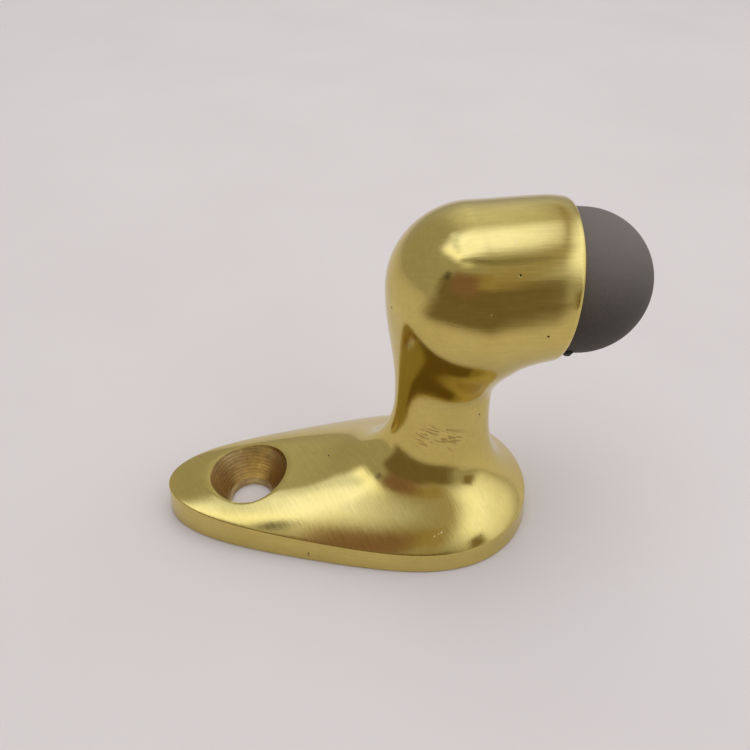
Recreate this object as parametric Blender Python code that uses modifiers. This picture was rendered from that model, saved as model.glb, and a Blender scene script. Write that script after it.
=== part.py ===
"""Gooseneck floor door stop: a brass casting with a rubber bumper in its head.

Frame: the origin is the middle of the base's length on its flat underside, +Z up,
+X towards the bumper, and the part is symmetric about the XZ plane.  Driving sizes
are in millimetres and are turned into metres where vertices are made.
"""
import math

import bmesh
import bpy
import numpy as np

MM = 0.001
GAP = 0.3                      # clearance kept between touching pieces
CIRCLE_PULL = 0.5523           # handle length that makes a Bezier curve a quarter circle
DRILL_TIP = 0.6                # height of a drilled hole's cone, as a share of its radius
BELOW = -2.0                   # where the cutters of the base's holes start, outside it

# Base plate: an egg outline, narrow at the tail (-X) and wide at the lobe (+X)
BASE_LENGTH = 60.0
EGG_TAIL = 0.395               # roundness of the narrow end
EGG_SWELL = 1.08               # how fast the outline widens towards the lobe
EGG_CLOSE = 0.74               # how fast it closes again at the lobe
WALL_TAIL = 5.75               # height of the side wall at the tail
WALL_DROP = 4.45
WALL_RISE = 2.45
WALL_DRAFT = 0.985             # the top of the wall as a share of the outline
WALL_EDGE = 0.25               # height of the small bevel on top of the wall
WALL_EDGE_SHARE = 0.008        # how far that bevel leans in

# Neck: an upright oval waist between the base and the head
NECK_X = 14.55
NECK_Z = 23.2
NECK_HALF_DEPTH = 7.35         # along X
NECK_HALF_WIDTH = 4.8          # along Y

# Crown of the base, from the wall up into the neck.  Each has a value for the tail, the
# rear quarter, the side, the front quarter and the lobe.
REACH = (0.465, 0.495, 0.58, 0.42, 0.365)      # length of the curve's lower handle
CROWN = (3.05, 4.05, 5.55, 5.5, 2.85)          # height of that handle's end above the wall
FILLET = (18.8, 18.3, 17.3, 16.7, 17.3)        # length of the upper handle, down the neck
SWELL = (1.8, 2.15, 1.9, 0.55, 2.05)           # lift in the middle of the way
DRIFT = (0.025, 0.03, -0.005, 0.08, -0.07)     # shift of the middle towards the neck

# Head: a round back that runs into a straight barrel with a circular mouth
BACK_X = 5.3
BACK_Z = 42.4
BACK_RADIUS = 11.45
BACK_FOOT_PULL = 0.4               # handles of the curve up the neck's back, as shares
BACK_TOP_PULL = 0.35
MOUTH_X = 28.65
MOUTH_Z = 43.05
MOUTH_RADIUS = 11.3
MOUTH_TILT = math.radians(-4.5)    # the bumper's axis dips slightly
MOUTH_PULL = 3.0                   # how far the top runs straight into the mouth
UNDERSIDE_RISE = 1.75              # how far the neck's front stays upright
UNDERSIDE_RUN = 3.65               # how far the underside runs straight from the mouth
UNDERSIDE_SLOPE = 0.14
HEAD_FULL_AT = 0.67                # share of the way to the mouth where the head is full
HEAD_EGG = 0.065                   # fullness of the head towards its back

# Countersunk hole for a flat-head wood screw in the tail
SCREW_X = -16.45
SCREW_RADIUS = 3.45
SINK_RADIUS = 6.33
SINK_FLOOR = 1.55              # top of the straight hole
SINK_TOP = 6.8                 # top of the cone, where its straight wall starts

# Blind hole under the neck for a hanger bolt in the floor
FLOOR_HOLE_RADIUS = 2.55
FLOOR_HOLE_DEPTH = 14.0
FLOOR_HOLE_CHAMFER = 0.7

# Socket in the mouth, along the bumper's axis and measured back from the mouth
SOCKET_RADIUS = 6.5
SOCKET_DEPTH = 8.4
STUD_HOLE_RADIUS = 2.3
STUD_HOLE_DEPTH = 15.2

# Rubber bumper, its steel stud and the adhesive behind it
DOME_RADIUS = 9.9
DOME_CENTRE = 2.95             # ahead of the mouth
SPIGOT_RADIUS = 6.1
SPIGOT_LENGTH = 7.1
STUD_RADIUS = 2.0
STUD_LENGTH = 14.6
STUD_HEAD_RADIUS = 4.2
STUD_HEAD_BACK = 3.6
STUD_HEAD_THICKNESS = 1.6
STUD_CHAMFER = 0.5
GLUE_THICKNESS = 0.7

RING_POINTS = 64               # points around each ring of the casting
CROWN_RINGS = 16
HEAD_RINGS = 24
DOME_RINGS = 14
TURNED_STEPS = 36
WELD = 0.00001                 # merge distance of the turned pieces, in metres


def clear_scene():
    for item in list(bpy.data.objects):
        bpy.data.objects.remove(item, do_unlink=True)


def collection(name):
    group = bpy.data.collections.new(name)
    bpy.context.scene.collection.children.link(group)
    return group


def principled(name, colour, roughness, metallic):
    material = bpy.data.materials.new(name)
    material.use_nodes = True
    shader = material.node_tree.nodes["Principled BSDF"]
    shader.inputs["Base Color"].default_value = (*colour, 1.0)
    shader.inputs["Roughness"].default_value = roughness
    shader.inputs["Metallic"].default_value = metallic
    return material


def add_object(name, mesh, group, material=None):
    item = bpy.data.objects.new(name, mesh)
    group.objects.link(item)
    if material is not None:
        mesh.materials.append(material)
    return item


def hide_cutter(item):
    item.hide_render = True
    item.display_type = "WIRE"


# ---- outlines and curves of the casting -------------------------------------

def smooth(x):
    x = np.clip(x, 0.0, 1.0)
    return x * x * (3.0 - 2.0 * x)


def base_outline(angle):
    """Outline of the base: angle 0 is the tail's tip, pi is the lobe's tip."""
    along = (1.0 - np.cos(angle)) / 2.0
    egg = EGG_TAIL + EGG_SWELL * along ** 3 - EGG_CLOSE * along ** 4
    half = BASE_LENGTH / 2.0
    return -half * np.cos(angle), half * np.sin(angle) * egg, along


def wall_height(along):
    return WALL_TAIL - WALL_DROP * along + WALL_RISE * along ** 2


def cubic(points, u):
    """Cubic Bezier through arrays of control points."""
    a, b, c, d = (np.asarray(p, float) for p in points)
    u = np.asarray(u, float)[..., None]
    return (1 - u) ** 3 * a + 3 * (1 - u) ** 2 * u * b + 3 * (1 - u) * u ** 2 * c + u ** 3 * d


def even_rail(curves, count):
    """Points at even distances along a chain of cubic curves."""
    fine = np.vstack([cubic(curve, np.linspace(0.0, 1.0, 60)) for curve in curves])
    length = np.concatenate([[0.0], np.cumsum(np.hypot(*np.diff(fine, axis=0).T))])
    wanted = np.linspace(0.0, length[-1], count)
    return np.stack([np.interp(wanted, length, fine[:, k]) for k in (0, 1)], -1)


def by_direction(angle, values):
    """Blend five values around the base: tail, rear quarter, side, front quarter and lobe."""
    order = np.arange(len(values))
    series = np.linalg.solve(np.cos(np.outer(order * math.pi / 4, order)), values)
    return np.cos(np.outer(angle, order)) @ series


def base_rings(angle):
    """Rings from the underside, up the wall and over the crown, short of the waist."""
    x, y, along = base_outline(angle)
    height = wall_height(along)
    inset = WALL_DRAFT - WALL_EDGE_SHARE
    foot = np.stack([x, y, 0 * x], -1)
    wall_top = np.stack([x * WALL_DRAFT, y * WALL_DRAFT, height - WALL_EDGE], -1)
    rim = np.stack([x * inset, y * inset, height], -1)
    neck = np.stack([NECK_X - NECK_HALF_DEPTH * np.cos(angle),
                     NECK_HALF_WIDTH * np.sin(angle), 0 * x + NECK_Z], -1)
    reach, crown, fillet, swell, drift = (by_direction(angle, values)
                                          for values in (REACH, CROWN, FILLET, SWELL, DRIFT))
    way = (neck - rim) * [1.0, 1.0, 0.0]
    over = rim + way * reach[:, None]
    over[:, 2] = height + crown
    under = neck.copy()
    under[:, 2] = NECK_Z - fillet
    lift = way * drift[:, None]
    lift[:, 2] = swell
    rings = [foot, wall_top]
    for u in np.linspace(0.0, 1.0, CROWN_RINGS + 1)[:-1]:
        middle = 6 * (1 - u) ** 2 * u ** 2
        rings.append(cubic((rim, over, under, neck), np.full(len(angle), u)) + middle * lift)
    return rings


def mouth_frame():
    """Mouth centre, its outward axis and its upward direction, in the XZ plane."""
    axis = np.array([math.cos(MOUTH_TILT), math.sin(MOUTH_TILT)])
    return np.array([MOUTH_X, MOUTH_Z]), axis, np.array([-axis[1], axis[0]])


def head_rings(angle):
    """Oval rings between two rails: the back and top, and the front and underside."""
    mouth, axis, up = mouth_frame()
    top = mouth + MOUTH_RADIUS * up
    bottom = mouth - MOUTH_RADIUS * up
    back_foot = np.array([NECK_X - NECK_HALF_DEPTH, NECK_Z])
    front_foot = np.array([NECK_X + NECK_HALF_DEPTH, NECK_Z])
    back = np.array([BACK_X, BACK_Z])
    crest = back + BACK_RADIUS
    round_pull = CIRCLE_PULL * BACK_RADIUS
    rise = BACK_Z - NECK_Z
    outer = even_rail([
        (back_foot, back_foot + [0, BACK_FOOT_PULL * rise], back - [0, BACK_TOP_PULL * rise], back),
        (back, back + [0, round_pull], crest - [round_pull, 0], crest),
        (crest, crest + (top - crest) / 3, top - MOUTH_PULL * axis, top)], HEAD_RINGS)
    slope = np.array([1.0, UNDERSIDE_SLOPE]) / math.hypot(1.0, UNDERSIDE_SLOPE)
    inner = even_rail([(front_foot, front_foot + [0, UNDERSIDE_RISE],
                        bottom - UNDERSIDE_RUN * slope, bottom)], HEAD_RINGS)
    rings = []
    for share, far, near in zip(np.linspace(0.0, 1.0, HEAD_RINGS), outer, inner):
        half_width = NECK_HALF_WIDTH + (MOUTH_RADIUS - NECK_HALF_WIDTH) * smooth(share / HEAD_FULL_AT)
        fullness = 1.0 + HEAD_EGG * math.sin(math.pi * share) * np.cos(angle)
        middle = (far + near) / 2
        arm = (far - near) / 2
        place = middle + np.cos(angle)[:, None] * arm
        rings.append(np.stack([place[:, 0], half_width * np.sin(angle) * fullness, place[:, 1]], -1))
    return rings


def lofted_mesh(name, rings):
    """Closed mesh through rings of equal point counts, capped at both ends."""
    count = len(rings[0])
    form = bmesh.new()
    rows = [[form.verts.new(point * MM) for point in ring] for ring in rings]
    for low, high in zip(rows, rows[1:]):
        for i in range(count):
            j = (i + 1) % count
            form.faces.new((low[i], low[j], high[j], high[i]))
    form.faces.new(rows[0])
    form.faces.new(rows[-1])
    bmesh.ops.recalc_face_normals(form, faces=form.faces)
    mesh = bpy.data.meshes.new(name)
    form.to_mesh(mesh)
    form.free()
    mesh.shade_smooth()
    mesh.set_sharp_from_angle(angle=math.radians(35))
    return mesh


# ---- turned pieces and cutters ----------------------------------------------

def turned(name, profile, group, material=None, closed=False):
    """Turn a profile of (radius, height) points, run down its outer side, about Z."""
    mesh = bpy.data.meshes.new(name)
    points = [(radius * MM, 0.0, height * MM) for radius, height in profile]
    edges = [(i, i + 1) for i in range(len(points) - 1)]
    if closed:
        edges.append((len(points) - 1, 0))
    mesh.from_pydata(points, edges, [])
    item = add_object(name, mesh, group, material)
    screw = item.modifiers.new("turn", "SCREW")
    screw.steps = TURNED_STEPS
    screw.render_steps = TURNED_STEPS
    screw.use_merge_vertices = True
    screw.merge_threshold = WELD
    return item


def on_bumper_axis(item):
    """Stand a turned piece on the mouth, its +Z pointing out along the bumper's axis."""
    item.location = (MOUTH_X * MM, 0.0, MOUTH_Z * MM)
    item.rotation_euler = (0.0, math.pi / 2 - MOUTH_TILT, 0.0)
    return item


def dome_profile():
    """Half of the bumper's dome, from its tip down to the widest point."""
    return [(DOME_RADIUS * math.sin(a), DOME_CENTRE + DOME_RADIUS * math.cos(a))
            for a in np.linspace(0.0, math.pi / 2, DOME_RINGS)]


def cut(body, cutter, name):
    step = body.modifiers.new(name, "BOOLEAN")
    step.operation = "DIFFERENCE"
    step.object = cutter
    step.solver = "EXACT"
    hide_cutter(cutter)


def screw_hole_cutter(group):
    item = turned("screw_hole_cutter", [
        (0.0, NECK_Z), (SINK_RADIUS, NECK_Z), (SINK_RADIUS, SINK_TOP),
        (SCREW_RADIUS, SINK_FLOOR), (SCREW_RADIUS, BELOW), (0.0, BELOW)], group)
    item.location = (SCREW_X * MM, 0.0, 0.0)
    return item


def floor_hole_cutter(group):
    wide = FLOOR_HOLE_RADIUS + FLOOR_HOLE_CHAMFER
    tip = FLOOR_HOLE_DEPTH + DRILL_TIP * FLOOR_HOLE_RADIUS
    item = turned("floor_hole_cutter", [
        (0.0, tip), (FLOOR_HOLE_RADIUS, FLOOR_HOLE_DEPTH), (FLOOR_HOLE_RADIUS, FLOOR_HOLE_CHAMFER),
        (wide, 0.0), (wide, BELOW), (0.0, BELOW)], group)
    item.location = (NECK_X * MM, 0.0, 0.0)
    return item


def socket_cutter(group):
    ahead = -BELOW
    item = turned("socket_cutter", [
        (0.0, ahead), (SOCKET_RADIUS, ahead), (SOCKET_RADIUS, -SOCKET_DEPTH),
        (STUD_HOLE_RADIUS, -SOCKET_DEPTH), (STUD_HOLE_RADIUS, -STUD_HOLE_DEPTH),
        (0.0, -STUD_HOLE_DEPTH - DRILL_TIP * STUD_HOLE_RADIUS)], group)
    return on_bumper_axis(item)


# ---- the pieces -------------------------------------------------------------

def body_casting(parts, cutters):
    brass = principled("polished_brass", (0.66, 0.50, 0.17), 0.25, 1.0)
    angle = np.arange(RING_POINTS) / RING_POINTS * 2 * math.pi
    mesh = lofted_mesh("body_casting", base_rings(angle) + head_rings(angle))
    body = add_object("body_casting", mesh, parts, brass)
    cut(body, screw_hole_cutter(cutters), "screw hole")
    cut(body, floor_hole_cutter(cutters), "floor hole")
    cut(body, socket_cutter(cutters), "socket")
    return body


def rubber_bumper(parts):
    """Dome and spigot, moulded around the stud's head."""
    rubber = principled("grey_rubber", (0.13, 0.12, 0.11), 0.75, 0.0)
    hold_front = GAP - STUD_HEAD_BACK + STUD_HEAD_THICKNESS
    hold_back = -STUD_HEAD_BACK - GAP
    hold_radius = STUD_HEAD_RADIUS + GAP
    profile = dome_profile() + [
        (DOME_RADIUS, GAP), (SPIGOT_RADIUS, GAP), (SPIGOT_RADIUS, -SPIGOT_LENGTH),
        (STUD_HOLE_RADIUS, -SPIGOT_LENGTH), (STUD_HOLE_RADIUS, hold_back),
        (hold_radius, hold_back), (hold_radius, hold_front), (0.0, hold_front)]
    return on_bumper_axis(turned("rubber_bumper", profile, parts, rubber))


def bumper_stud(parts):
    """Steel stud: a flat head held in the rubber and a shank screwed into the head."""
    steel = principled("plated_steel", (0.60, 0.60, 0.62), 0.35, 1.0)
    front = STUD_HEAD_THICKNESS - STUD_HEAD_BACK
    profile = [
        (0.0, front), (STUD_HEAD_RADIUS, front), (STUD_HEAD_RADIUS, -STUD_HEAD_BACK),
        (STUD_RADIUS, -STUD_HEAD_BACK), (STUD_RADIUS, STUD_CHAMFER - STUD_LENGTH),
        (STUD_RADIUS - STUD_CHAMFER, -STUD_LENGTH), (0.0, -STUD_LENGTH)]
    return on_bumper_axis(turned("bumper_stud", profile, parts, steel))


def socket_adhesive(parts):
    """Ring of set adhesive between the spigot's end and the socket's floor."""
    black = principled("black_adhesive", (0.02, 0.02, 0.02), 0.5, 0.0)
    front = -SPIGOT_LENGTH - GAP
    back = front - GLUE_THICKNESS
    inside = STUD_RADIUS + GAP
    outside = SOCKET_RADIUS - GAP
    profile = [(inside, front), (outside, front), (outside, back), (inside, back)]
    return on_bumper_axis(turned("socket_adhesive", profile, parts, black, closed=True))


def main():
    clear_scene()
    parts = collection("gooseneck_door_stop")
    cutters = collection("cutters")
    body_casting(parts, cutters)
    rubber_bumper(parts)
    bumper_stud(parts)
    socket_adhesive(parts)


main()
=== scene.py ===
import math

import bmesh
import bpy
import numpy as np
from mathutils import Matrix, Vector

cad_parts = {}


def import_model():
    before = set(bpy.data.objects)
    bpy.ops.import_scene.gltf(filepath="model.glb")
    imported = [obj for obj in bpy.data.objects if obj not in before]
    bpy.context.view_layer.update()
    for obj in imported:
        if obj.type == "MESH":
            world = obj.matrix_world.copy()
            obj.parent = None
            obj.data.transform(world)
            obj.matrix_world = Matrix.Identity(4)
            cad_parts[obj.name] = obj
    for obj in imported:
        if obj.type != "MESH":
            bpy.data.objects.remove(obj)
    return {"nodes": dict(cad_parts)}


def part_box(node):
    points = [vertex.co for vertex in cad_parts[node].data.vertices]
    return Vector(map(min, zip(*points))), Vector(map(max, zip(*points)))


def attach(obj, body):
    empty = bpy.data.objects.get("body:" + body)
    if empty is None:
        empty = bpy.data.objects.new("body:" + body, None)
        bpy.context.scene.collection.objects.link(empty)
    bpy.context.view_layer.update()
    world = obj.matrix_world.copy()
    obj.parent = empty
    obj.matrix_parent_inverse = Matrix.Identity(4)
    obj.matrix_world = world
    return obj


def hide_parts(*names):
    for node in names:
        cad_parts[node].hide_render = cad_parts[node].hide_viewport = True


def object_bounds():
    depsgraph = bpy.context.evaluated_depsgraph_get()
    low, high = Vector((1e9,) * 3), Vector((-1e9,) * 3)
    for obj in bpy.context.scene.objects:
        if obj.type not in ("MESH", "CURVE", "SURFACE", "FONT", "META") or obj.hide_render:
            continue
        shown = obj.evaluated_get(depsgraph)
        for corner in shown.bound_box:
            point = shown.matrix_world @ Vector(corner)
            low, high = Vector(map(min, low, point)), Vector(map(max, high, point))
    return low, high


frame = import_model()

CAD_BOX = [list(map(float, corner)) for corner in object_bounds()]
BODY_LOW, BODY_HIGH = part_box("body_casting")

# ---- sizes, in units that make the base 60 long; the CAD box gives the metres ------------

BASE_LENGTH = 60.0
UNIT = (BODY_HIGH[0] - BODY_LOW[0]) / BASE_LENGTH      # metres in one unit
MM = 0.001                                             # metres in a millimetre

CIRCLE_PULL = 0.5523           # handle length that makes a Bezier curve a quarter circle
DRILL_TIP = 0.6                # height of a drilled hole's cone, as a share of its radius
TIP_RADIUS = 0.25              # small flat at the end of each drilled hole
BELOW = -2.0                   # where the screw hole's cutter ends, under the base

# Base plate: an egg outline, narrow at the tail (-X) and wide at the lobe (+X)
EGG_TAIL = 0.395               # roundness of the narrow end
EGG_SWELL = 1.08               # how fast the outline widens towards the lobe
EGG_CLOSE = 0.74               # how fast it closes again at the lobe
WALL_TAIL = 5.75               # height of the side wall at the tail
WALL_DROP = 4.45
WALL_RISE = 2.45
WALL_DRAFT = 0.985             # the top of the wall as a share of the outline

# Neck: an upright oval waist between the base and the head
NECK_X = 14.55
NECK_Z = 23.2
NECK_HALF_DEPTH = 7.35         # along X
NECK_HALF_WIDTH = 4.8          # along Y

# Crown of the base, from the wall up into the neck.  Each has a value for the tail, the
# rear quarter, the side, the front quarter and the lobe.
REACH = (0.465, 0.495, 0.58, 0.42, 0.365)      # length of the curve's lower handle
CROWN = (3.05, 4.05, 5.55, 5.5, 2.85)          # height of that handle's end above the wall
FILLET = (18.8, 18.3, 17.3, 16.7, 17.3)        # length of the upper handle, down the neck
SWELL = (1.8, 2.15, 1.9, 0.55, 2.05)           # lift in the middle of the way
DRIFT = (0.025, 0.03, -0.005, 0.08, -0.07)     # shift of the middle towards the neck

# Head: a round back that runs into a straight barrel with a circular mouth
BACK_X = 5.3
BACK_Z = 42.4
BACK_RADIUS = 11.45
BACK_FOOT_PULL = 0.4               # handles of the curve up the neck's back, as shares
BACK_TOP_PULL = 0.35
MOUTH_X = 28.65
MOUTH_Z = 43.05
MOUTH_RADIUS = 11.3
MOUTH_TILT = math.radians(-4.5)    # the bumper's axis dips slightly
MOUTH_PULL = 3.0                   # how far the top runs straight into the mouth
UNDERSIDE_RISE = 1.75              # how far the neck's front stays upright
UNDERSIDE_RUN = 3.65               # how far the underside runs straight from the mouth
UNDERSIDE_SLOPE = 0.14
HEAD_FULL_AT = 0.67                # share of the way to the mouth where the head is full
HEAD_EGG = 0.065                   # fullness of the head towards its back

# Countersunk hole for a flat-head wood screw in the tail
SCREW_X = -16.45
SCREW_RADIUS = 3.45
SINK_RADIUS = 6.33
SINK_FLOOR = 1.55              # top of the straight hole
SINK_TOP = 6.8                 # top of the cone, where its straight wall starts
SINK_EDGE = 0.35               # width of the worn edge round the sink
SINK_EDGE_DROP = 0.10
SINK_RIDGES = 22               # ridges and grooves, in turn, that the tool left in the cone
SINK_RIDGE_HEIGHT = 0.012

# Blind hole under the neck for a hanger bolt in the floor
FLOOR_HOLE_RADIUS = 2.55
FLOOR_HOLE_DEPTH = 14.0
FLOOR_HOLE_CHAMFER = 0.7

# Socket in the mouth, along the bumper's axis and measured back from the mouth
SOCKET_RADIUS = 6.5
SOCKET_DEPTH = 8.4
SOCKET_CHAMFER = 0.3
STUD_HOLE_RADIUS = 2.3
STUD_HOLE_DEPTH = 15.2
STUD_HOLE_TIP = 1.2

# Rubber bumper, and the cavity that its stud's head fills
DOME_RADIUS = 9.9
DOME_CENTRE = 2.95                                     # ahead of the mouth
DOME_FOOT = ((0.0, 0.45), (0.1, 0.2), (0.35, 0.05))    # inset and height round its lower edge
SPIGOT_RADIUS = 6.1
SPIGOT_LENGTH = 7.1
CAVITY_RADIUS = 4.5
CAVITY_FRONT = -1.7
CAVITY_BACK = -3.9

# Crumb of adhesive low on one side of the mouth
NIB_HALF_SIZES = (0.85, 0.50, 0.42)
NIB_TURN = math.pi + 0.84          # round the mouth, from its top
NIB_STAND_OFF = 0.15               # out from the rubber
NIB_AHEAD = 1.3                    # ahead of the mouth

# Fine edges that the CAD solid leaves plain
WALL_EDGE = 0.30                   # rounding at the top of the side wall
FOOT_EDGE = 0.3
FOOT_INSET = (0.985, 0.975, 1.0)   # where the underside goes flat, as shares of the outline
MOUTH_EDGE = 0.35
MOUTH_EASE = 2.9                   # length of the eased band at the mouth
MOUTH_EASE_DROP = 0.22
MOUTH_FACE_RADIUS = 9.0            # ring that keeps the face of the mouth flat

# Fineness of the meshes
RING_POINTS = 320
TAIL_CROWDING = 0.42               # how much closer together those points are at the tail
FOOT_RINGS = 5
WALL_RINGS = 9
WALL_EDGE_RINGS = 7
CROWN_RINGS = 84
RAIL_STEPS = 400
HEAD_RINGS = 110
LIP_RINGS = 6
TURNED_STEPS = 128
DOME_RINGS = 64
BRASS_SHARP = math.radians(34)     # edges sharper than this are not smoothed
RUBBER_SHARP = math.radians(40)


def smooth(x):
    """Ease from 0 to 1, level at both ends."""
    x = np.clip(x, 0.0, 1.0)
    return x * x * (3.0 - 2.0 * x)


def base_outline(angle):
    """Outline of the base: angle 0 is the tail's tip, pi is the lobe's tip."""
    along = (1.0 - np.cos(angle)) / 2.0
    egg = EGG_TAIL + EGG_SWELL * along ** 3 - EGG_CLOSE * along ** 4
    half = BASE_LENGTH / 2.0
    return -half * np.cos(angle), half * np.sin(angle) * egg, along


def wall_height(along):
    """Height of the side wall, where along is 0 at the tail and 1 at the lobe."""
    return WALL_TAIL - WALL_DROP * along + WALL_RISE * along ** 2


def cubic(points, u):
    """Cubic Bezier through arrays of control points."""
    a, b, c, d = (np.asarray(p, float) for p in points)
    u = np.asarray(u, float)[..., None]
    return (1 - u) ** 3 * a + 3 * (1 - u) ** 2 * u * b + 3 * (1 - u) * u ** 2 * c + u ** 3 * d


def quadratic(a, b, c, u):
    """Quadratic Bezier, which rounds the corner b."""
    return (1 - u) ** 2 * a + 2 * (1 - u) * u * b + u ** 2 * c


def even_rail(curves, count):
    """Points at even distances along a chain of cubic curves."""
    fine = np.vstack([cubic(curve, np.linspace(0.0, 1.0, RAIL_STEPS)) for curve in curves])
    length = np.concatenate([[0.0], np.cumsum(np.hypot(*np.diff(fine, axis=0).T))])
    wanted = np.linspace(0.0, length[-1], count)
    return np.stack([np.interp(wanted, length, fine[:, k]) for k in (0, 1)], -1)


def by_direction(angle, values):
    """Blend five values round the base: tail, rear quarter, side, front quarter and lobe."""
    order = np.arange(len(values))
    series = np.linalg.solve(np.cos(np.outer(order * math.pi / 4, order)), values)
    return np.cos(np.outer(angle, order)) @ series


def towards(start, end, distance):
    """Points a given distance from start on the way to end."""
    way = end - start
    return start + way * (distance / np.linalg.norm(way, axis=1))[:, None]


def flat_ring(angle, x, radius, z):
    """Level circle about a point on the XZ plane."""
    return np.stack([x - radius * np.cos(angle), radius * np.sin(angle), 0 * angle + z], -1)


def underside_rings(angle):
    """Up from the blind hole's tip to its mouth, then out across the flat underside."""
    rings = []
    tip = FLOOR_HOLE_DEPTH + DRILL_TIP * (FLOOR_HOLE_RADIUS - TIP_RADIUS)
    wide = FLOOR_HOLE_RADIUS + FLOOR_HOLE_CHAMFER
    for radius, z in ((TIP_RADIUS, tip), (FLOOR_HOLE_RADIUS, FLOOR_HOLE_DEPTH),
                      (FLOOR_HOLE_RADIUS, FLOOR_HOLE_CHAMFER), (wide, 0.0)):
        rings.append(flat_ring(angle, NECK_X, radius, z))
    return rings


def base_rings(angle):
    """Rings from the foot's edge, up the wall and over the crown, short of the waist."""
    x, y, along = base_outline(angle)
    height = wall_height(along)
    foot = np.stack([x, y, 0 * x], -1)
    rim = np.stack([x * WALL_DRAFT, y * WALL_DRAFT, height], -1)
    neck = np.stack([NECK_X - NECK_HALF_DEPTH * np.cos(angle),
                     NECK_HALF_WIDTH * np.sin(angle), 0 * x + NECK_Z], -1)
    reach, crown, fillet, swell, drift = (by_direction(angle, values)
                                          for values in (REACH, CROWN, FILLET, SWELL, DRIFT))
    way = (neck - rim) * [1.0, 1.0, 0.0]
    over = rim + way * reach[:, None]
    over[:, 2] = height + crown
    under = neck.copy()
    under[:, 2] = NECK_Z - fillet
    lift = way * drift[:, None]
    lift[:, 2] = swell

    def meridian(u):
        """Points a share u, one for each angle, of the way from the rim to the waist."""
        return cubic((rim, over, under, neck), u) + (6 * (1 - u) ** 2 * u ** 2)[:, None] * lift

    inward = foot * FOOT_INSET
    wall_low = towards(foot, rim, FOOT_EDGE)
    rings = [quadratic(inward, foot, wall_low, u) for u in np.linspace(0.0, 1.0, FOOT_RINGS)]
    wall_high = towards(rim, foot, WALL_EDGE)
    # A cubic sets off at three times the length of its first handle
    start = WALL_EDGE / (3.0 * np.linalg.norm(over - rim, axis=1))
    crown_low = meridian(start)
    for u in np.linspace(0.0, 1.0, WALL_RINGS)[1:-1]:
        rings.append(wall_low + (wall_high - wall_low) * u)
    for u in np.linspace(0.0, 1.0, WALL_EDGE_RINGS)[:-1]:
        rings.append(quadratic(wall_high, rim, crown_low, u))
    for share in np.linspace(0.0, 1.0, CROWN_RINGS + 1)[:-1]:
        rings.append(meridian(start + (1.0 - start) * share))
    return rings


def mouth_frame():
    """Mouth centre, its outward axis and its upward direction, in the XZ plane."""
    axis = np.array([math.cos(MOUTH_TILT), math.sin(MOUTH_TILT)])
    return np.array([MOUTH_X, MOUTH_Z]), axis, np.array([-axis[1], axis[0]])


def mouth_ring(angle, radius, ahead):
    """Circle about the bumper's axis, a distance ahead of the mouth."""
    centre, axis, up = mouth_frame()
    place = centre + ahead * axis + np.cos(angle)[:, None] * radius * up
    return np.stack([place[:, 0], radius * np.sin(angle), place[:, 1]], -1)


def head_rings(angle):
    """Oval rings between two rails: the back and top, and the front and underside."""
    mouth, axis, up = mouth_frame()
    top = mouth + MOUTH_RADIUS * up - MOUTH_EDGE * axis
    bottom = mouth - MOUTH_RADIUS * up - MOUTH_EDGE * axis
    back_foot = np.array([NECK_X - NECK_HALF_DEPTH, NECK_Z])
    front_foot = np.array([NECK_X + NECK_HALF_DEPTH, NECK_Z])
    back = np.array([BACK_X, BACK_Z])
    crest = back + BACK_RADIUS
    round_pull = CIRCLE_PULL * BACK_RADIUS
    rise = BACK_Z - NECK_Z
    outer = even_rail([
        (back_foot, back_foot + [0, BACK_FOOT_PULL * rise], back - [0, BACK_TOP_PULL * rise], back),
        (back, back + [0, round_pull], crest - [round_pull, 0], crest),
        (crest, crest + (top - crest) / 3, top - MOUTH_PULL * axis, top)], HEAD_RINGS)
    slope = np.array([1.0, UNDERSIDE_SLOPE]) / math.hypot(1.0, UNDERSIDE_SLOPE)
    inner = even_rail([(front_foot, front_foot + [0, UNDERSIDE_RISE],
                        bottom - UNDERSIDE_RUN * slope, bottom)], HEAD_RINGS)
    rings = []
    for share, far, near in zip(np.linspace(0.0, 1.0, HEAD_RINGS), outer, inner):
        half_width = NECK_HALF_WIDTH + (MOUTH_RADIUS - NECK_HALF_WIDTH) * smooth(share / HEAD_FULL_AT)
        fullness = 1.0 + HEAD_EGG * math.sin(math.pi * share) * np.cos(angle)
        middle = (far + near) / 2
        arm = (far - near) / 2
        place = middle + np.cos(angle)[:, None] * arm
        ring = np.stack([place[:, 0], half_width * np.sin(angle) * fullness, place[:, 1]], -1)
        rings.append(ease_at_mouth(ring))
    return rings


def ease_at_mouth(ring):
    """Draw the last stretch of the barrel in, as the polished lip of the mouth."""
    mouth, axis, up = mouth_frame()
    depth = (mouth[0] - ring[:, 0]) * axis[0] + (mouth[1] - ring[:, 2]) * axis[1]
    share = np.clip(1.0 - depth / MOUTH_EASE, 0.0, 1.0)
    middle = np.stack([mouth[0] - depth * axis[0], 0 * depth, mouth[1] - depth * axis[1]], -1)
    draw = MOUTH_EASE_DROP * share ** 2 / MOUTH_RADIUS
    return ring + (middle - ring) * draw[:, None]


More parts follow.
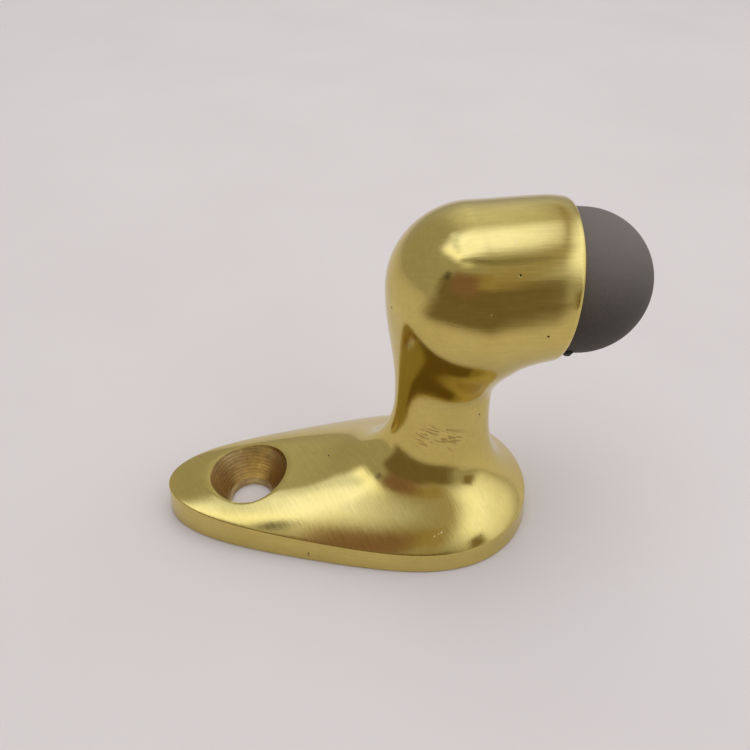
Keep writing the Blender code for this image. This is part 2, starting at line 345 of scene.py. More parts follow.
def socket_rings(angle):
    """Round the lip of the mouth, across its face and down the bumper's socket."""
    rings = []
    lip = MOUTH_RADIUS - MOUTH_EASE_DROP
    for turn in np.linspace(0.0, math.pi / 2, LIP_RINGS)[1:]:
        inset = MOUTH_EDGE * (1.0 - math.cos(turn))
        rings.append(mouth_ring(angle, lip - inset, MOUTH_EDGE * (math.sin(turn) - 1.0)))
    for radius, ahead in ((MOUTH_FACE_RADIUS, 0.0), (SOCKET_RADIUS + SOCKET_CHAMFER, 0.0),
                          (SOCKET_RADIUS, -SOCKET_CHAMFER), (SOCKET_RADIUS, -SOCKET_DEPTH),
                          (STUD_HOLE_RADIUS, -SOCKET_DEPTH), (STUD_HOLE_RADIUS, -STUD_HOLE_DEPTH),
                          (TIP_RADIUS, -STUD_HOLE_DEPTH - STUD_HOLE_TIP)):
        rings.append(mouth_ring(angle, radius, ahead))
    return rings


def wear_sink_edge(points):
    """Roll the crown off slightly where it meets the countersink."""
    reach = np.hypot(points[:, 0] - SCREW_X, points[:, 1])
    share = np.clip((SINK_RADIUS + SINK_EDGE - reach) / SINK_EDGE, 0.0, 1.0)
    points[:, 2] -= np.where(points[:, 2] > SINK_FLOOR, SINK_EDGE_DROP * share ** 2, 0.0)
    return points


def mesh_from_rings(name, rings):
    """Closed mesh through rings of equal point counts, capped at both ends."""
    count = len(rings[0])
    form = bmesh.new()
    rows = [[form.verts.new(point * UNIT) for point in ring] for ring in rings]
    for low, high in zip(rows, rows[1:]):
        for i in range(count):
            j = (i + 1) % count
            form.faces.new((low[i], low[j], high[j], high[i]))
    form.faces.new(rows[0])
    form.faces.new(rows[-1])
    bmesh.ops.recalc_face_normals(form, faces=form.faces)
    mesh = bpy.data.meshes.new(name)
    form.to_mesh(mesh)
    form.free()
    return mesh


def add_object(name, mesh, material):
    """Object in the scene that shows a mesh in one material."""
    item = bpy.data.objects.new(name, mesh)
    bpy.context.scene.collection.objects.link(item)
    mesh.materials.append(material)
    return item


def turned_mesh(name, profile):
    """Closed mesh of a profile of (radius, height) points that starts and ends on the axis."""
    angle = np.arange(TURNED_STEPS) / TURNED_STEPS * 2 * math.pi
    form = bmesh.new()
    rows = []
    for radius, height in profile:
        if radius < 1e-6:
            rows.append([form.verts.new((0.0, 0.0, height * UNIT))])
        else:
            rows.append([form.verts.new((radius * math.cos(a) * UNIT, radius * math.sin(a) * UNIT,
                                         height * UNIT)) for a in angle])
    for high, low in zip(rows, rows[1:]):
        for i in range(TURNED_STEPS):
            j = (i + 1) % TURNED_STEPS
            corners = [high[i % len(high)], low[i % len(low)], low[j % len(low)], high[j % len(high)]]
            form.faces.new(list(dict.fromkeys(corners)))
    bmesh.ops.recalc_face_normals(form, faces=form.faces)
    mesh = bpy.data.meshes.new(name)
    form.to_mesh(mesh)
    form.free()
    return mesh


def on_bumper_axis(mesh):
    """Turn a mesh made along +Z to lie along the bumper's axis, from the mouth outwards."""
    place = Matrix.Translation((MOUTH_X * UNIT, 0.0, MOUTH_Z * UNIT))
    mesh.transform(place @ Matrix.Rotation(math.pi / 2 - MOUTH_TILT, 4, "Y"))
    return mesh


# ---- node helpers ------------------------------------------------------------------------

def new_material(name):
    """Material, its node tree and its Principled shader."""
    material = bpy.data.materials.new(name)
    material.use_nodes = True
    tree = material.node_tree
    return material, tree, tree.nodes["Principled BSDF"]


def node(tree, kind, links=None, values=None, **settings):
    """Add a node; links gives sockets their sources and values their fixed values."""
    item = tree.nodes.new("ShaderNode" + kind)
    for key, value in settings.items():
        setattr(item, key, value)
    for key, value in (values or {}).items():
        item.inputs[key].default_value = value
    for key, source in (links or {}).items():
        tree.links.new(source, item.inputs[key])
    return item


def places(tree, scale=(1.0, 1.0, 1.0), turn=(0.0, 0.0, 0.0)):
    """Object coordinates in millimetres, turned and then stretched by scale."""
    corner = node(tree, "TexCoord").outputs["Object"]
    turned = node(tree, "VectorRotate", {"Vector": corner}, {"Rotation": turn}, rotation_type="EULER_XYZ")
    fit = node(tree, "VectorMath", {0: turned.outputs[0]}, operation="MULTIPLY")
    fit.inputs[1].default_value = [share / MM for share in scale]
    return fit.outputs[0]


def noise(tree, place, detail=3.0, roughness=0.5, distortion=0.0):
    """Cloudy values round 0.5, about one blot to a unit of place."""
    item = node(tree, "TexNoise", {"Vector": place}, {
        "Scale": 1.0, "Detail": detail, "Roughness": roughness, "Distortion": distortion})
    return item.outputs["Fac"]


def ramp(tree, source, stops):
    """Colours (or greys) at places between 0 and 1 along source."""
    item = node(tree, "ValToRGB", {"Fac": source})
    bar = item.color_ramp
    while len(bar.elements) < len(stops):
        bar.elements.new(0.5)
    for element, (position, colour) in zip(bar.elements, stops):
        element.position = position
        element.color = (colour,) * 3 + (1.0,) if isinstance(colour, float) else (*colour, 1.0)
    return item.outputs[0]


def maths(tree, operation, *values):
    """One step of arithmetic on sockets and numbers."""
    item = node(tree, "Math", operation=operation)
    for slot, value in enumerate(values):
        if isinstance(value, float):
            item.inputs[slot].default_value = value
        else:
            tree.links.new(value, item.inputs[slot])
    return item.outputs[0]


def fade(tree, source, start, end):
    """0 before start, 1 past end, smooth between them; start may be the larger."""
    item = node(tree, "MapRange", {"Value": source}, {"From Min": start, "From Max": end},
                interpolation_type="SMOOTHSTEP")
    return item.outputs[0]


def blend(tree, share, first, second, blend_type="MIX"):
    """Mix two colours; share is a socket or a number."""
    item = node(tree, "Mix", data_type="RGBA", blend_type=blend_type)
    for key, value in ((0, share), (6, first), (7, second)):
        if isinstance(value, float):
            item.inputs[key].default_value = value
        elif isinstance(value, tuple):
            item.inputs[key].default_value = (*value, 1.0)
        else:
            tree.links.new(value, item.inputs[key])
    return item.outputs[2]


def spots(tree, place, marks):
    """Mask that is 1 at each mark, given as (x, y, z, radius) in millimetres."""
    mask = None
    for *centre, radius in marks:
        away = node(tree, "VectorMath", {0: place}, operation="DISTANCE")
        away.inputs[1].default_value = centre
        near = fade(tree, away.outputs["Value"], radius, 0.5 * radius)
        mask = near if mask is None else maths(tree, "MAXIMUM", mask, near)
    return mask


# ---- materials ---------------------------------------------------------------------------

# Colours; tints are ramps from dark to light
BRASS_DEEP = (0.67, 0.53, 0.155)
BRASS = (0.72, 0.575, 0.18)
BRASS_TARNISH = (0.40, 0.27, 0.10)
# The nicks' pale colour is a painted glint and the pits' near black is painted shade
BRASS_NICK_GLINT = (1.0, 0.90, 0.50)
PIT_SHADE = (0.05, 0.035, 0.012)
SINK_TINTS = ((0.3, (0.52, 0.37, 0.17)), (0.55, (0.80, 0.62, 0.28)), (0.75, (0.95, 0.78, 0.38)))
# Painted shade for the side of the countersink that faces the neck
SINK_SHADE = (0.30, 0.20, 0.09)
RUBBER_TINTS = ((0.3, (0.054, 0.046, 0.036)), (0.7, (0.086, 0.073, 0.058)))
# Pale grey for the rubber's dust specks and for the painted light on its top
RUBBER_DUST_AND_LIGHT = (0.29, 0.25, 0.20)
STEEL_TINTS = ((0.3, (0.52, 0.53, 0.55)), (0.7, (0.64, 0.64, 0.65)))
ADHESIVE_TINTS = ((0.3, (0.012, 0.011, 0.010)), (0.7, (0.03, 0.027, 0.024)))
TABLE_TINTS = ((0.3, (0.692, 0.638, 0.573)), (0.7, (0.717, 0.664, 0.597)))

# Where the brass changes its brush lines: heights in millimetres, and how level a face is
HEAD_BRUSHED = (17.0, 25.0)
WALL_BRUSHED = (6.5, 5.5)
WALL_LEVEL = (0.35, 0.15)
BASE_BRUSH_TURN = math.radians(-29.0)
BASE_BRUSH_WAY = {"X": -0.48, "Y": 0.88}
HEAD_BRUSH_WAY = {"X": 1.0}

# Casting pits that the polish has opened, their hollows in painted shade, and rougher nicks with a
# painted glint: place and radius in millimetres
PITS = ((20.93, -9.02, 49.7, 0.20), (25.08, -11.25, 42.0, 0.21), (5.94, -3.52, 41.6, 0.18),
        (19.77, -3.40, 21.4, 0.18), (-6.82, -12.81, 1.7, 0.22), (-6.85, -12.84, 1.2, 0.18),
        (-3.27, 0.58, 9.5, 0.22), (8.38, -6.22, 37.3, 0.18), (14.92, -7.71, 32.1, 0.16))
NICKS = ((20.61, -5.80, 52.5, 0.16), (17.55, -10.95, 45.3, 0.15), (12.66, -13.72, 5.8, 0.20),
         (13.78, -13.26, 6.1, 0.22), (13.3, -13.45, 6.0, 0.14))

# Patch of short tool marks on the neck: its middle, half sizes and the slant of the marks
SCUFF = (13.8, -4.9, 18.0)
SCUFF_SIZE = (6.0, 4.6, 3.7)
SCUFF_SLANT = math.radians(-20.0)


def scuff_mask(tree, place):
    """Short slanting scratches that fade out round the middle of the patch."""
    offset = node(tree, "VectorMath", {0: place}, operation="SUBTRACT")
    offset.inputs[1].default_value = SCUFF
    shrunk = node(tree, "VectorMath", {0: offset.outputs[0]}, operation="DIVIDE")
    shrunk.inputs[1].default_value = SCUFF_SIZE
    reach = node(tree, "VectorMath", {0: shrunk.outputs[0]}, operation="LENGTH")
    patch = fade(tree, reach.outputs["Value"], 1.0, 0.3)
    strokes = noise(tree, places(tree, (0.5, 0.5, 2.6), (0.0, SCUFF_SLANT, 0.0)), 2.0, 0.55, 0.5)
    return maths(tree, "MULTIPLY", fade(tree, strokes, 0.52, 0.60), patch)


def brass_material():
    """Cast brass, linished along the head, across the base and round the side wall."""
    material, tree, shader = new_material("satin_brass")
    shader.inputs["Metallic"].default_value = 1.0
    shader.inputs["Anisotropic"].default_value = 0.45
    place = places(tree)
    split = node(tree, "SeparateXYZ", {0: place})
    head = fade(tree, split.outputs["Z"], *HEAD_BRUSHED)
    facing = node(tree, "SeparateXYZ", {0: node(tree, "NewGeometry").outputs["True Normal"]})
    level = maths(tree, "ABSOLUTE", facing.outputs["Z"])
    low = fade(tree, split.outputs["Z"], *WALL_BRUSHED)
    wall = maths(tree, "MULTIPLY", fade(tree, level, *WALL_LEVEL), low)

    # Brush lines: noise with few blots to a millimetre along them and many across them
    head_grain = noise(tree, places(tree, (0.2, 2.8, 2.8)), 4.0, 0.65)
    base_grain = noise(tree, places(tree, (4.2, 0.25, 0.6), (0.0, 0.0, BASE_BRUSH_TURN)), 4.0, 0.65)
    wall_grain = noise(tree, places(tree, (0.12, 0.12, 3.0)), 4.0, 0.65)
    grain = blend(tree, head, base_grain, head_grain)
    grain = blend(tree, wall, grain, wall_grain)

    cloud = noise(tree, places(tree, (0.18, 0.18, 0.18)), 3.0)
    tint = ramp(tree, cloud, [(0.3, BRASS_DEEP), (0.7, BRASS)])
    mottle = ramp(tree, noise(tree, places(tree, (0.9, 0.9, 0.9)), 5.0, 0.65), [(0.3, 0.95), (0.6, 1.0)])
    tint = blend(tree, 1.0, tint, mottle, "MULTIPLY")
    tint = blend(tree, 1.0, tint, ramp(tree, grain, [(0.3, 0.90), (0.7, 1.0)]), "MULTIPLY")
    pits = spots(tree, place, PITS)
    nicks = spots(tree, place, NICKS)
    cuts = scuff_mask(tree, place)
    # Painted glint: the nicks are lightened towards a pale brass
    tint = blend(tree, maths(tree, "MULTIPLY", nicks, 0.35), tint, BRASS_NICK_GLINT)
    # Painted shade: the pits are darkened to near black
    tint = blend(tree, pits, tint, PIT_SHADE)
    tint = blend(tree, maths(tree, "MULTIPLY", cuts, 0.65), tint, BRASS_TARNISH)
    tree.links.new(tint, shader.inputs["Base Color"])

    gloss = ramp(tree, grain, [(0.25, 0.085), (0.8, 0.16)])
    marks = maths(tree, "MAXIMUM", nicks, maths(tree, "MAXIMUM", pits, cuts))
    gloss = blend(tree, marks, gloss, (0.45, 0.45, 0.45))
    tree.links.new(gloss, shader.inputs["Roughness"])

    height = maths(tree, "SUBTRACT", grain, maths(tree, "MULTIPLY", cuts, 1.5))
    height = maths(tree, "SUBTRACT", height, maths(tree, "MULTIPLY", pits, 4.0))
    bump = node(tree, "Bump", {"Height": height}, {"Strength": 0.85, "Distance": 0.00001})
    tree.links.new(bump.outputs[0], shader.inputs["Normal"])

    across = node(tree, "CombineXYZ", values=BASE_BRUSH_WAY)
    along = node(tree, "CombineXYZ", values=HEAD_BRUSH_WAY)
    way = blend(tree, head, across.outputs[0], along.outputs[0])
    tree.links.new(way, shader.inputs["Tangent"])
    return material


def machined_material():
    """The countersink: turned brass, ringed and brown, with painted shade on the neck's side of the cone.
    """
    material, tree, shader = new_material("machined_brass")
    shader.inputs["Metallic"].default_value = 1.0
    place = node(tree, "VectorMath", {0: places(tree)}, operation="SUBTRACT")
    place.inputs[1].default_value = (SCREW_X, 0.0, 0.0)
    rings = node(tree, "TexWave", {"Vector": place.outputs[0]},
                 {"Scale": 1.1, "Distortion": 0.6, "Detail": 2.0, "Detail Scale": 2.0},
                 wave_type="RINGS", rings_direction="Z").outputs["Fac"]
    stain = noise(tree, places(tree, (0.5, 0.5, 0.9)), 5.0, 0.65)
    tint = ramp(tree, stain, SINK_TINTS)
    tint = blend(tree, 1.0, tint, ramp(tree, rings, [(0.0, 0.78), (0.6, 1.0)]), "MULTIPLY")
    facing = node(tree, "SeparateXYZ", {0: node(tree, "NewGeometry").outputs["True Normal"]})
    # Painted shade: faces of the cone that point to -X, on the neck's side, are darkened
    shaded_side = maths(tree, "MULTIPLY", fade(tree, facing.outputs["X"], -0.25, -0.70), 0.75)
    tint = blend(tree, shaded_side, tint, SINK_SHADE)
    tree.links.new(tint, shader.inputs["Base Color"])
    gloss = ramp(tree, stain, [(0.3, 0.42), (0.75, 0.26)])
    tree.links.new(gloss, shader.inputs["Roughness"])
    bump = node(tree, "Bump", {"Height": rings}, {"Strength": 0.5, "Distance": 0.00002})
    tree.links.new(bump.outputs[0], shader.inputs["Normal"])
    return material


def rubber_material():
    """Matt grey rubber with a faint bloom and specks of dust, and painted light that makes it lighter
    towards the top.
    """
    material, tree, shader = new_material("grey_rubber")
    fine = noise(tree, places(tree, (3.0, 3.0, 3.0)), 6.0, 0.7)
    bloom = noise(tree, places(tree, (0.25, 0.25, 0.25)), 3.0)
    tint = ramp(tree, fine, RUBBER_TINTS)
    tint = blend(tree, 1.0, tint, ramp(tree, bloom, [(0.3, 0.92), (0.7, 1.0)]), "MULTIPLY")
    specks = fade(tree, noise(tree, places(tree, (2.1, 2.1, 2.1)), 1.0), 0.76, 0.80)
    facing = node(tree, "SeparateXYZ", {0: node(tree, "NewGeometry").outputs["Normal"]})
    # Painted light: the more a face points up, the lighter it is made; the specks are dust
    lit_top = maths(tree, "MULTIPLY", fade(tree, facing.outputs["Z"], -0.2, 0.95), 0.36)
    dust_and_lit_top = maths(tree, "MAXIMUM", lit_top, maths(tree, "MULTIPLY", specks, 0.5))
    tint = blend(tree, dust_and_lit_top, tint, RUBBER_DUST_AND_LIGHT)
    tree.links.new(tint, shader.inputs["Base Color"])
    tree.links.new(ramp(tree, fine, [(0.2, 0.60), (0.8, 0.76)]), shader.inputs["Roughness"])
    shader.inputs["Specular IOR Level"].default_value = 0.35
    bump = node(tree, "Bump", {"Height": fine}, {"Strength": 0.3, "Distance": 0.00003})
    tree.links.new(bump.outputs[0], shader.inputs["Normal"])
    return material


def steel_material():
    """Zinc-plated steel of the stud."""
    material, tree, shader = new_material("plated_steel")
    shader.inputs["Metallic"].default_value = 1.0
    grain = noise(tree, places(tree, (6.0, 6.0, 6.0)), 4.0, 0.6)
    tree.links.new(ramp(tree, grain, STEEL_TINTS), shader.inputs["Base Color"])
    tree.links.new(ramp(tree, grain, [(0.2, 0.28), (0.8, 0.42)]), shader.inputs["Roughness"])
    return material


def adhesive_material():
    """Set black adhesive, slightly lumpy in its shine."""
    material, tree, shader = new_material("black_adhesive")
    lumps = noise(tree, places(tree, (1.6, 1.6, 1.6)), 4.0)
    tree.links.new(ramp(tree, lumps, ADHESIVE_TINTS), shader.inputs["Base Color"])
    tree.links.new(ramp(tree, lumps, [(0.2, 0.35), (0.8, 0.55)]), shader.inputs["Roughness"])
    return material


def table_material():
    """Plain pale laminate, faintly clouded."""
    material, tree, shader = new_material("pale_table")
    cloud = noise(tree, places(tree, (0.02, 0.02, 0.02)), 3.0)
    tree.links.new(ramp(tree, cloud, TABLE_TINTS), shader.inputs["Base Color"])
    shader.inputs["Roughness"].default_value = 0.6
    shader.inputs["Specular IOR Level"].default_value = 0.25
    return material


# ---- pieces ------------------------------------------------------------------------------

def sink_cutter(material):
    """Screw hole and countersink, with the fine rings that the tool left in the cone."""
    profile = [(0.0, NECK_Z), (SINK_RADIUS, NECK_Z), (SINK_RADIUS, SINK_TOP)]
    for k in range(1, SINK_RIDGES):
        share = k / SINK_RIDGES
        radius = SINK_RADIUS + (SCREW_RADIUS - SINK_RADIUS) * share
        height = SINK_TOP + (SINK_FLOOR - SINK_TOP) * share
        profile.append((radius + SINK_RIDGE_HEIGHT * (-1) ** k, height))
    profile += [(SCREW_RADIUS, SINK_FLOOR), (SCREW_RADIUS, BELOW), (0.0, BELOW)]
    mesh = turned_mesh("sink_cutter", profile)
    mesh.transform(Matrix.Translation((SCREW_X * UNIT, 0.0, 0.0)))
    return add_object("sink_cutter", mesh, material)


def apply_modifiers(item):
    """Give the object the mesh that its modifiers make of it."""
    bpy.context.view_layer.update()
    graph = bpy.context.evaluated_depsgraph_get()
    mesh = bpy.data.meshes.new_from_object(item.evaluated_get(graph))
    item.modifiers.clear()
    old = item.data
    item.data = mesh
    bpy.data.meshes.remove(old)


def casting(brass, machined):
    """The loft from the blind hole to the bumper's socket, with the screw hole cut in it."""
    turn = np.arange(RING_POINTS) / RING_POINTS * 2 * math.pi
    angle = turn - TAIL_CROWDING * np.sin(turn)
    rings = (underside_rings(angle) + base_rings(angle) + head_rings(angle) + socket_rings(angle))
    rings = [wear_sink_edge(ring) for ring in rings]
    body = add_object("brass_casting", mesh_from_rings("brass_casting", rings), brass)
    cutter = sink_cutter(machined)
    hole = body.modifiers.new("screw hole", "BOOLEAN")
    hole.operation = "DIFFERENCE"
    hole.object = cutter
    hole.solver = "EXACT"
    hole.material_mode = "TRANSFER"
    apply_modifiers(body)
    bpy.data.objects.remove(cutter, do_unlink=True)
    body.data.shade_smooth()
    body.data.set_sharp_from_angle(angle=BRASS_SHARP)
    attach(body, "root")
    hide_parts("body_casting")
    return body


def bumper(material):
    """The rubber dome with its spigot, hollow where the stud and its head are moulded in."""
    profile = [(DOME_RADIUS * math.sin(a), DOME_CENTRE + DOME_RADIUS * math.cos(a))
               for a in np.linspace(0.0, math.pi / 2, DOME_RINGS)]
    profile += [(DOME_RADIUS - inset, height) for inset, height in DOME_FOOT]
    profile += [(SPIGOT_RADIUS, profile[-1][1]), (SPIGOT_RADIUS, -SPIGOT_LENGTH),
                (STUD_HOLE_RADIUS, -SPIGOT_LENGTH), (STUD_HOLE_RADIUS, CAVITY_BACK),
                (CAVITY_RADIUS, CAVITY_BACK), (CAVITY_RADIUS, CAVITY_FRONT), (0.0, CAVITY_FRONT)]
    mesh = on_bumper_axis(turned_mesh("rubber_dome", profile))
    mesh.shade_smooth()
    mesh.set_sharp_from_angle(angle=RUBBER_SHARP)
    dome = add_object("rubber_dome", mesh, material)
    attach(dome, "root")
    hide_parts("rubber_bumper")
    return dome


def lumpy(x, y, z):
    """Radius of an uneven crumb of size 1 in a direction."""
    return 1.0 + 0.22 * math.sin(3.1 * x + 1.0) * math.cos(2.7 * y) + 0.12 * math.sin(5.0 * z)


def glue_nib(material):
    """A crumb of adhesive squeezed out between the rubber and the mouth."""
    form = bmesh.new()
    bmesh.ops.create_icosphere(form, subdivisions=4, radius=1.0)
    for vertex in form.verts:
        radius = lumpy(*vertex.co) * UNIT
        vertex.co = [part * half * radius for part, half in zip(vertex.co, NIB_HALF_SIZES)]
    mesh = bpy.data.meshes.new("adhesive_nib")
    form.to_mesh(mesh)
    form.free()
    mesh.shade_smooth()
    place = mouth_ring(np.array([NIB_TURN]), DOME_RADIUS + NIB_STAND_OFF, NIB_AHEAD)[0]
    mesh.transform(Matrix.Translation(place * UNIT))
    nib = add_object("adhesive_nib", mesh, material)
    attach(nib, "root")
    return nib


def finish_cad_node(name, material):
    """Keep a CAD node's shape and give it a finished material."""
    item = frame["nodes"][name]
    item.data.materials.clear()
    item.data.materials.append(material)


# ---- stage, lights and camera ------------------------------------------------------------

# Metres and degrees, except where a line says otherwise
TABLE_SIZE = 20.0              # so that its edge is the horizon in low views
TABLE_GAP = 0.00002            # keeps the underside of the stop off the table

# Only the reflections see the next two: a curved screen round the head that carries the near panels,
# and a sheet of painted shade that darkens the table in front of the stop
SCREEN_CENTRE = (0.016, -0.008, 0.050)
SCREEN_RADIUS = 0.095
SCREEN_AZIMUTHS = (-110.0, 60.0)
SCREEN_ELEVATIONS = (-30.0, 82.0)
TABLE_SHADE_START = 0.050              # from the middle of the stop; dark from TABLE_SHADE_FULL onwards
TABLE_SHADE_FULL = 0.105
TABLE_SHADE_END = 9.8
TABLE_SHADE_AZIMUTHS = (-69.0, 40.0)
TABLE_SHADE_EDGE = 24.0                # width of its soft sides
TABLE_SHADE_HEIGHT = 0.0003
# Colour of the painted shade on the table
TABLE_SHADE_COLOUR = (0.21, 0.165, 0.11)
GRID_STEPS = (40, 24)          # points across and up each of them

SKY = (0.44, 0.42, 0.40)

# Soft-edged panels laid over the sky: azimuth and elevation of the middle, half width, half
# height and edge, then the radiance.  Azimuth 0 is in front of the stop and 90 is ahead of
# its bumper.
PANELS = {
    "ceiling": (203.5, 88.5, 31.5, 18.0, 18.0, (1.55, 1.66, 2.3)),
    "bright_wall": (91.5, 22.0, 35.5, 15.3, 22.5, (0.98, 0.99, 1.12)),
    "window": (81.0, 47.0, 34.5, 18.0, 33.5, (1.39, 1.46, 1.8)),
    "left_lamp": (-97.0, 68.5, 17.0, 4.0, 5.0, (1.0, 1.08, 1.49)),
    "front_lamp": (-57.5, 61.0, 19.5, 3.0, 15.0, (1.72, 1.8, 2.0)),
    "back_wall": (172.5, 43.0, 13.0, 25.0, 36.5, (0.86, 0.88, 0.94)),
    "dark_room": (-17.0, 8.0, 37.0, 28.5, 13.0, (0.2, 0.155, 0.1)),
    "dark_strip": (82.5, 70.5, 61.5, 5.5, 18.0, (0.4, 0.33, 0.22)),
}

# The same for the near screen, with directions from its centre
NEAR_PANELS = {
    "gold_card": (-0.5, 33.0, 13.5, 11.5, 8.5, (0.385, 0.305, 0.175)),
    "orange_card": (-24.5, 26.5, 15.5, 15.5, 13.0, (0.26, 0.155, 0.13)),
    "grey_edge": (-51.5, 31.0, 3.5, 5.5, 4.0, (0.085, 0.085, 0.08)),
    "brown_strip": (-6.5, 63.0, 20.0, 3.5, 9.0, (0.25, 0.225, 0.165)),
    "dark_corner": (44.5, -2.0, 8.0, 10.0, 7.0, (0.25, 0.19, 0.1)),
}

LAMP_PLACE = (0.05, 0.11, 0.60)
LAMP_SIZE = 0.45
LAMP_POWER = 0.86
LAMP_COLOUR = (1.0, 0.965, 0.88)

CAMERA_PLACE = (-0.00179, -0.08438, 0.09881)
CAMERA_YAW = 0.070             # radians: right of +Y, down from level, and round its own axis
CAMERA_PITCH = 0.704
CAMERA_ROLL = 0.014
SENSOR_WIDTH = 36.0            # millimetres, like the lens
LENS = 35.9
CLIP_START = 0.005


def table():
    """The plain pale floor that the stop lies on."""
    form = bmesh.new()
    bmesh.ops.create_grid(form, x_segments=8, y_segments=8, size=TABLE_SIZE / 2)
    mesh = bpy.data.meshes.new("table")
    form.to_mesh(mesh)
    form.free()
    top = add_object("table", mesh, table_material())
    top.location = (0.0, 0.0, CAD_BOX[0][2] - TABLE_GAP)


def direction(azimuth, elevation):
    """Unit vector, and the level and upward unit vectors square to it."""
    a, e = math.radians(azimuth), math.radians(elevation)
    ahead = Vector((math.sin(a) * math.cos(e), -math.cos(a) * math.cos(e), math.sin(e)))
    level = Vector((math.cos(a), math.sin(a), 0.0))
    return ahead, level, ahead.cross(level)


def panel_mask(tree, view, azimuth, elevation, half_width, half_height, edge):
    """1 for directions inside a rectangular panel and 0 outside, with a soft edge."""
    parts = []
    for vector in direction(azimuth, elevation):
        dot = node(tree, "VectorMath", {0: view}, operation="DOT_PRODUCT")
        dot.inputs[1].default_value = vector
        parts.append(dot.outputs["Value"])
    ahead, level, upward = parts
    mask = maths(tree, "GREATER_THAN", ahead, 0.0)
    for part, half in ((level, half_width), (upward, half_height)):
        away = maths(tree, "ABSOLUTE", maths(tree, "ARCTAN2", part, ahead))
        near = fade(tree, away, math.radians(half + edge / 2), math.radians(half - edge / 2))
        mask = maths(tree, "MULTIPLY", mask, near)
    return mask


def reflection_only(name, form, material):
    """Stage object that nothing but the reflections can see."""
    mesh = bpy.data.meshes.new(name)
    form.to_mesh(mesh)
    form.free()
    item = add_object(name, mesh, material)
    item.visible_camera = False
    item.visible_diffuse = False
    item.visible_shadow = False
    return item


def grid(azimuths, others, place):
    """Open mesh over azimuths and a second range; place gives the points."""
    form = bmesh.new()
    across, up = GRID_STEPS
    rows = [[form.verts.new(place(math.radians(a), b)) for a in np.linspace(*azimuths, across)]
            for b in np.linspace(*others, up)]
    for low, high in zip(rows, rows[1:]):
        for i in range(len(low) - 1):
            form.faces.new((low[i], low[i + 1], high[i + 1], high[i]))
    return form


def glowing(name):
    """Material that starts fully clear, for panels of light to be laid on."""
    material, tree, shader = new_material(name)
    tree.nodes.remove(shader)
    return material, tree, node(tree, "BsdfTransparent").outputs[0]


def lay_light(tree, below, mask, colour):
    """Cover part of a shader with an even light of one colour."""
    light = node(tree, "Emission", values={"Color": (*colour, 1.0)})
    return node(tree, "MixShader", {0: mask, 1: below, 2: light.outputs[0]}).outputs[0]


def near_screen():
    """Part of a sphere round the head, clear but for its panels of light and shade."""
    material, tree, light = glowing("near_screen")
    view = node(tree, "TexCoord").outputs["Object"]
    for *panel, radiance in NEAR_PANELS.values():
        light = lay_light(tree, light, panel_mask(tree, view, *panel), radiance)
    tree.links.new(light, tree.nodes["Material Output"].inputs["Surface"])
    form = grid(SCREEN_AZIMUTHS, SCREEN_ELEVATIONS,
                lambda a, e: SCREEN_RADIUS * direction(math.degrees(a), e)[0])
    reflection_only("near_screen", form, material).location = SCREEN_CENTRE


def painted_table_shade():
    """Painted shade: a sector of the floor in front of the stop that is darker than the table."""
    material, tree, light = glowing("painted_table_shade")
    place = node(tree, "TexCoord").outputs["Object"]
    reach = node(tree, "VectorMath", {0: place}, operation="LENGTH").outputs["Value"]
    split = node(tree, "SeparateXYZ", {0: place})
    turn = maths(tree, "ARCTAN2", split.outputs["X"], maths(tree, "MULTIPLY", split.outputs["Y"], -1.0))
    middle = math.radians(sum(TABLE_SHADE_AZIMUTHS) / 2)
    half = math.radians(TABLE_SHADE_AZIMUTHS[1] - TABLE_SHADE_AZIMUTHS[0]) / 2
    away = maths(tree, "ABSOLUTE", maths(tree, "SUBTRACT", turn, middle))
    # Painted shade on the table: full from a distance off the stop outwards, soft at the sides
    mask = maths(tree, "MULTIPLY", fade(tree, reach, TABLE_SHADE_START, TABLE_SHADE_FULL),
                 fade(tree, away, half, half - math.radians(TABLE_SHADE_EDGE)))
    light = lay_light(tree, light, mask, TABLE_SHADE_COLOUR)
    tree.links.new(light, tree.nodes["Material Output"].inputs["Surface"])
    form = grid(TABLE_SHADE_AZIMUTHS, (TABLE_SHADE_START, TABLE_SHADE_END),
                lambda a, reach: (reach * math.sin(a), -reach * math.cos(a), TABLE_SHADE_HEIGHT))
    reflection_only("painted_table_shade", form, material)


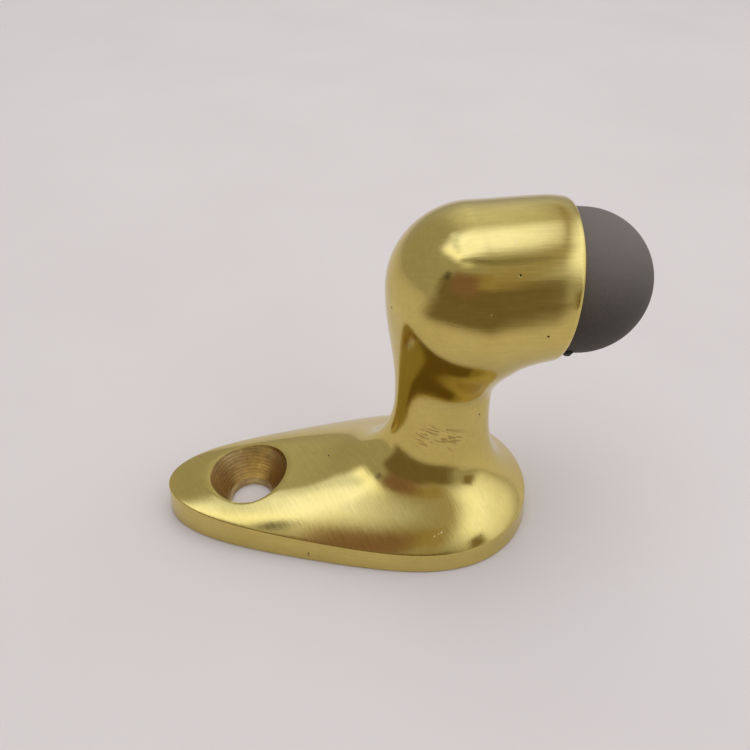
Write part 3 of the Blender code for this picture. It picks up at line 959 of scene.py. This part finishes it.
def world():
    """An even sky with the panels laid over it, one after another."""
    sky = bpy.data.worlds.new("studio")
    bpy.context.scene.world = sky
    sky.use_nodes = True
    tree = sky.node_tree
    view = node(tree, "TexCoord").outputs["Generated"]
    light = SKY
    for *panel, radiance in PANELS.values():
        light = blend(tree, panel_mask(tree, view, *panel), light, radiance)
    tree.links.new(light, tree.nodes["Background"].inputs["Color"])


def soft_box():
    """Large lamp high above the stop; the brass shows the sky's panels instead of it."""
    data = bpy.data.lights.new("soft_box", "AREA")
    data.shape = "SQUARE"
    data.size = LAMP_SIZE
    data.energy = LAMP_POWER
    data.color = LAMP_COLOUR
    lamp = bpy.data.objects.new("soft_box", data)
    bpy.context.scene.collection.objects.link(lamp)
    lamp.location = LAMP_PLACE
    lamp.rotation_euler = (-lamp.location).to_track_quat("-Z", "Y").to_euler()
    lamp.visible_camera = False
    lamp.visible_glossy = False


def camera():
    """Hand-held view: in front, well above, and close."""
    data = bpy.data.cameras.new("camera")
    data.sensor_width = SENSOR_WIDTH
    data.lens = LENS
    data.clip_start = CLIP_START
    view = bpy.data.objects.new("camera", data)
    bpy.context.scene.collection.objects.link(view)
    view.location = CAMERA_PLACE
    level = math.cos(CAMERA_PITCH)
    look = np.array([math.sin(CAMERA_YAW) * level, math.cos(CAMERA_YAW) * level,
                     -math.sin(CAMERA_PITCH)])
    right = np.array([math.cos(CAMERA_YAW), -math.sin(CAMERA_YAW), 0.0])
    tilted = right * math.cos(CAMERA_ROLL) + np.cross(right, look) * math.sin(CAMERA_ROLL)
    turn = Matrix((tilted, np.cross(tilted, look), -look)).transposed()
    view.rotation_euler = turn.to_euler()
    bpy.context.scene.camera = view


def main():
    adhesive = adhesive_material()
    casting(brass_material(), machined_material())
    bumper(rubber_material())
    glue_nib(adhesive)
    finish_cad_node("bumper_stud", steel_material())
    finish_cad_node("socket_adhesive", adhesive)
    table()
    near_screen()
    painted_table_shade()
    world()
    soft_box()
    camera()
    bpy.context.scene.view_settings.view_transform = "Standard"


main()
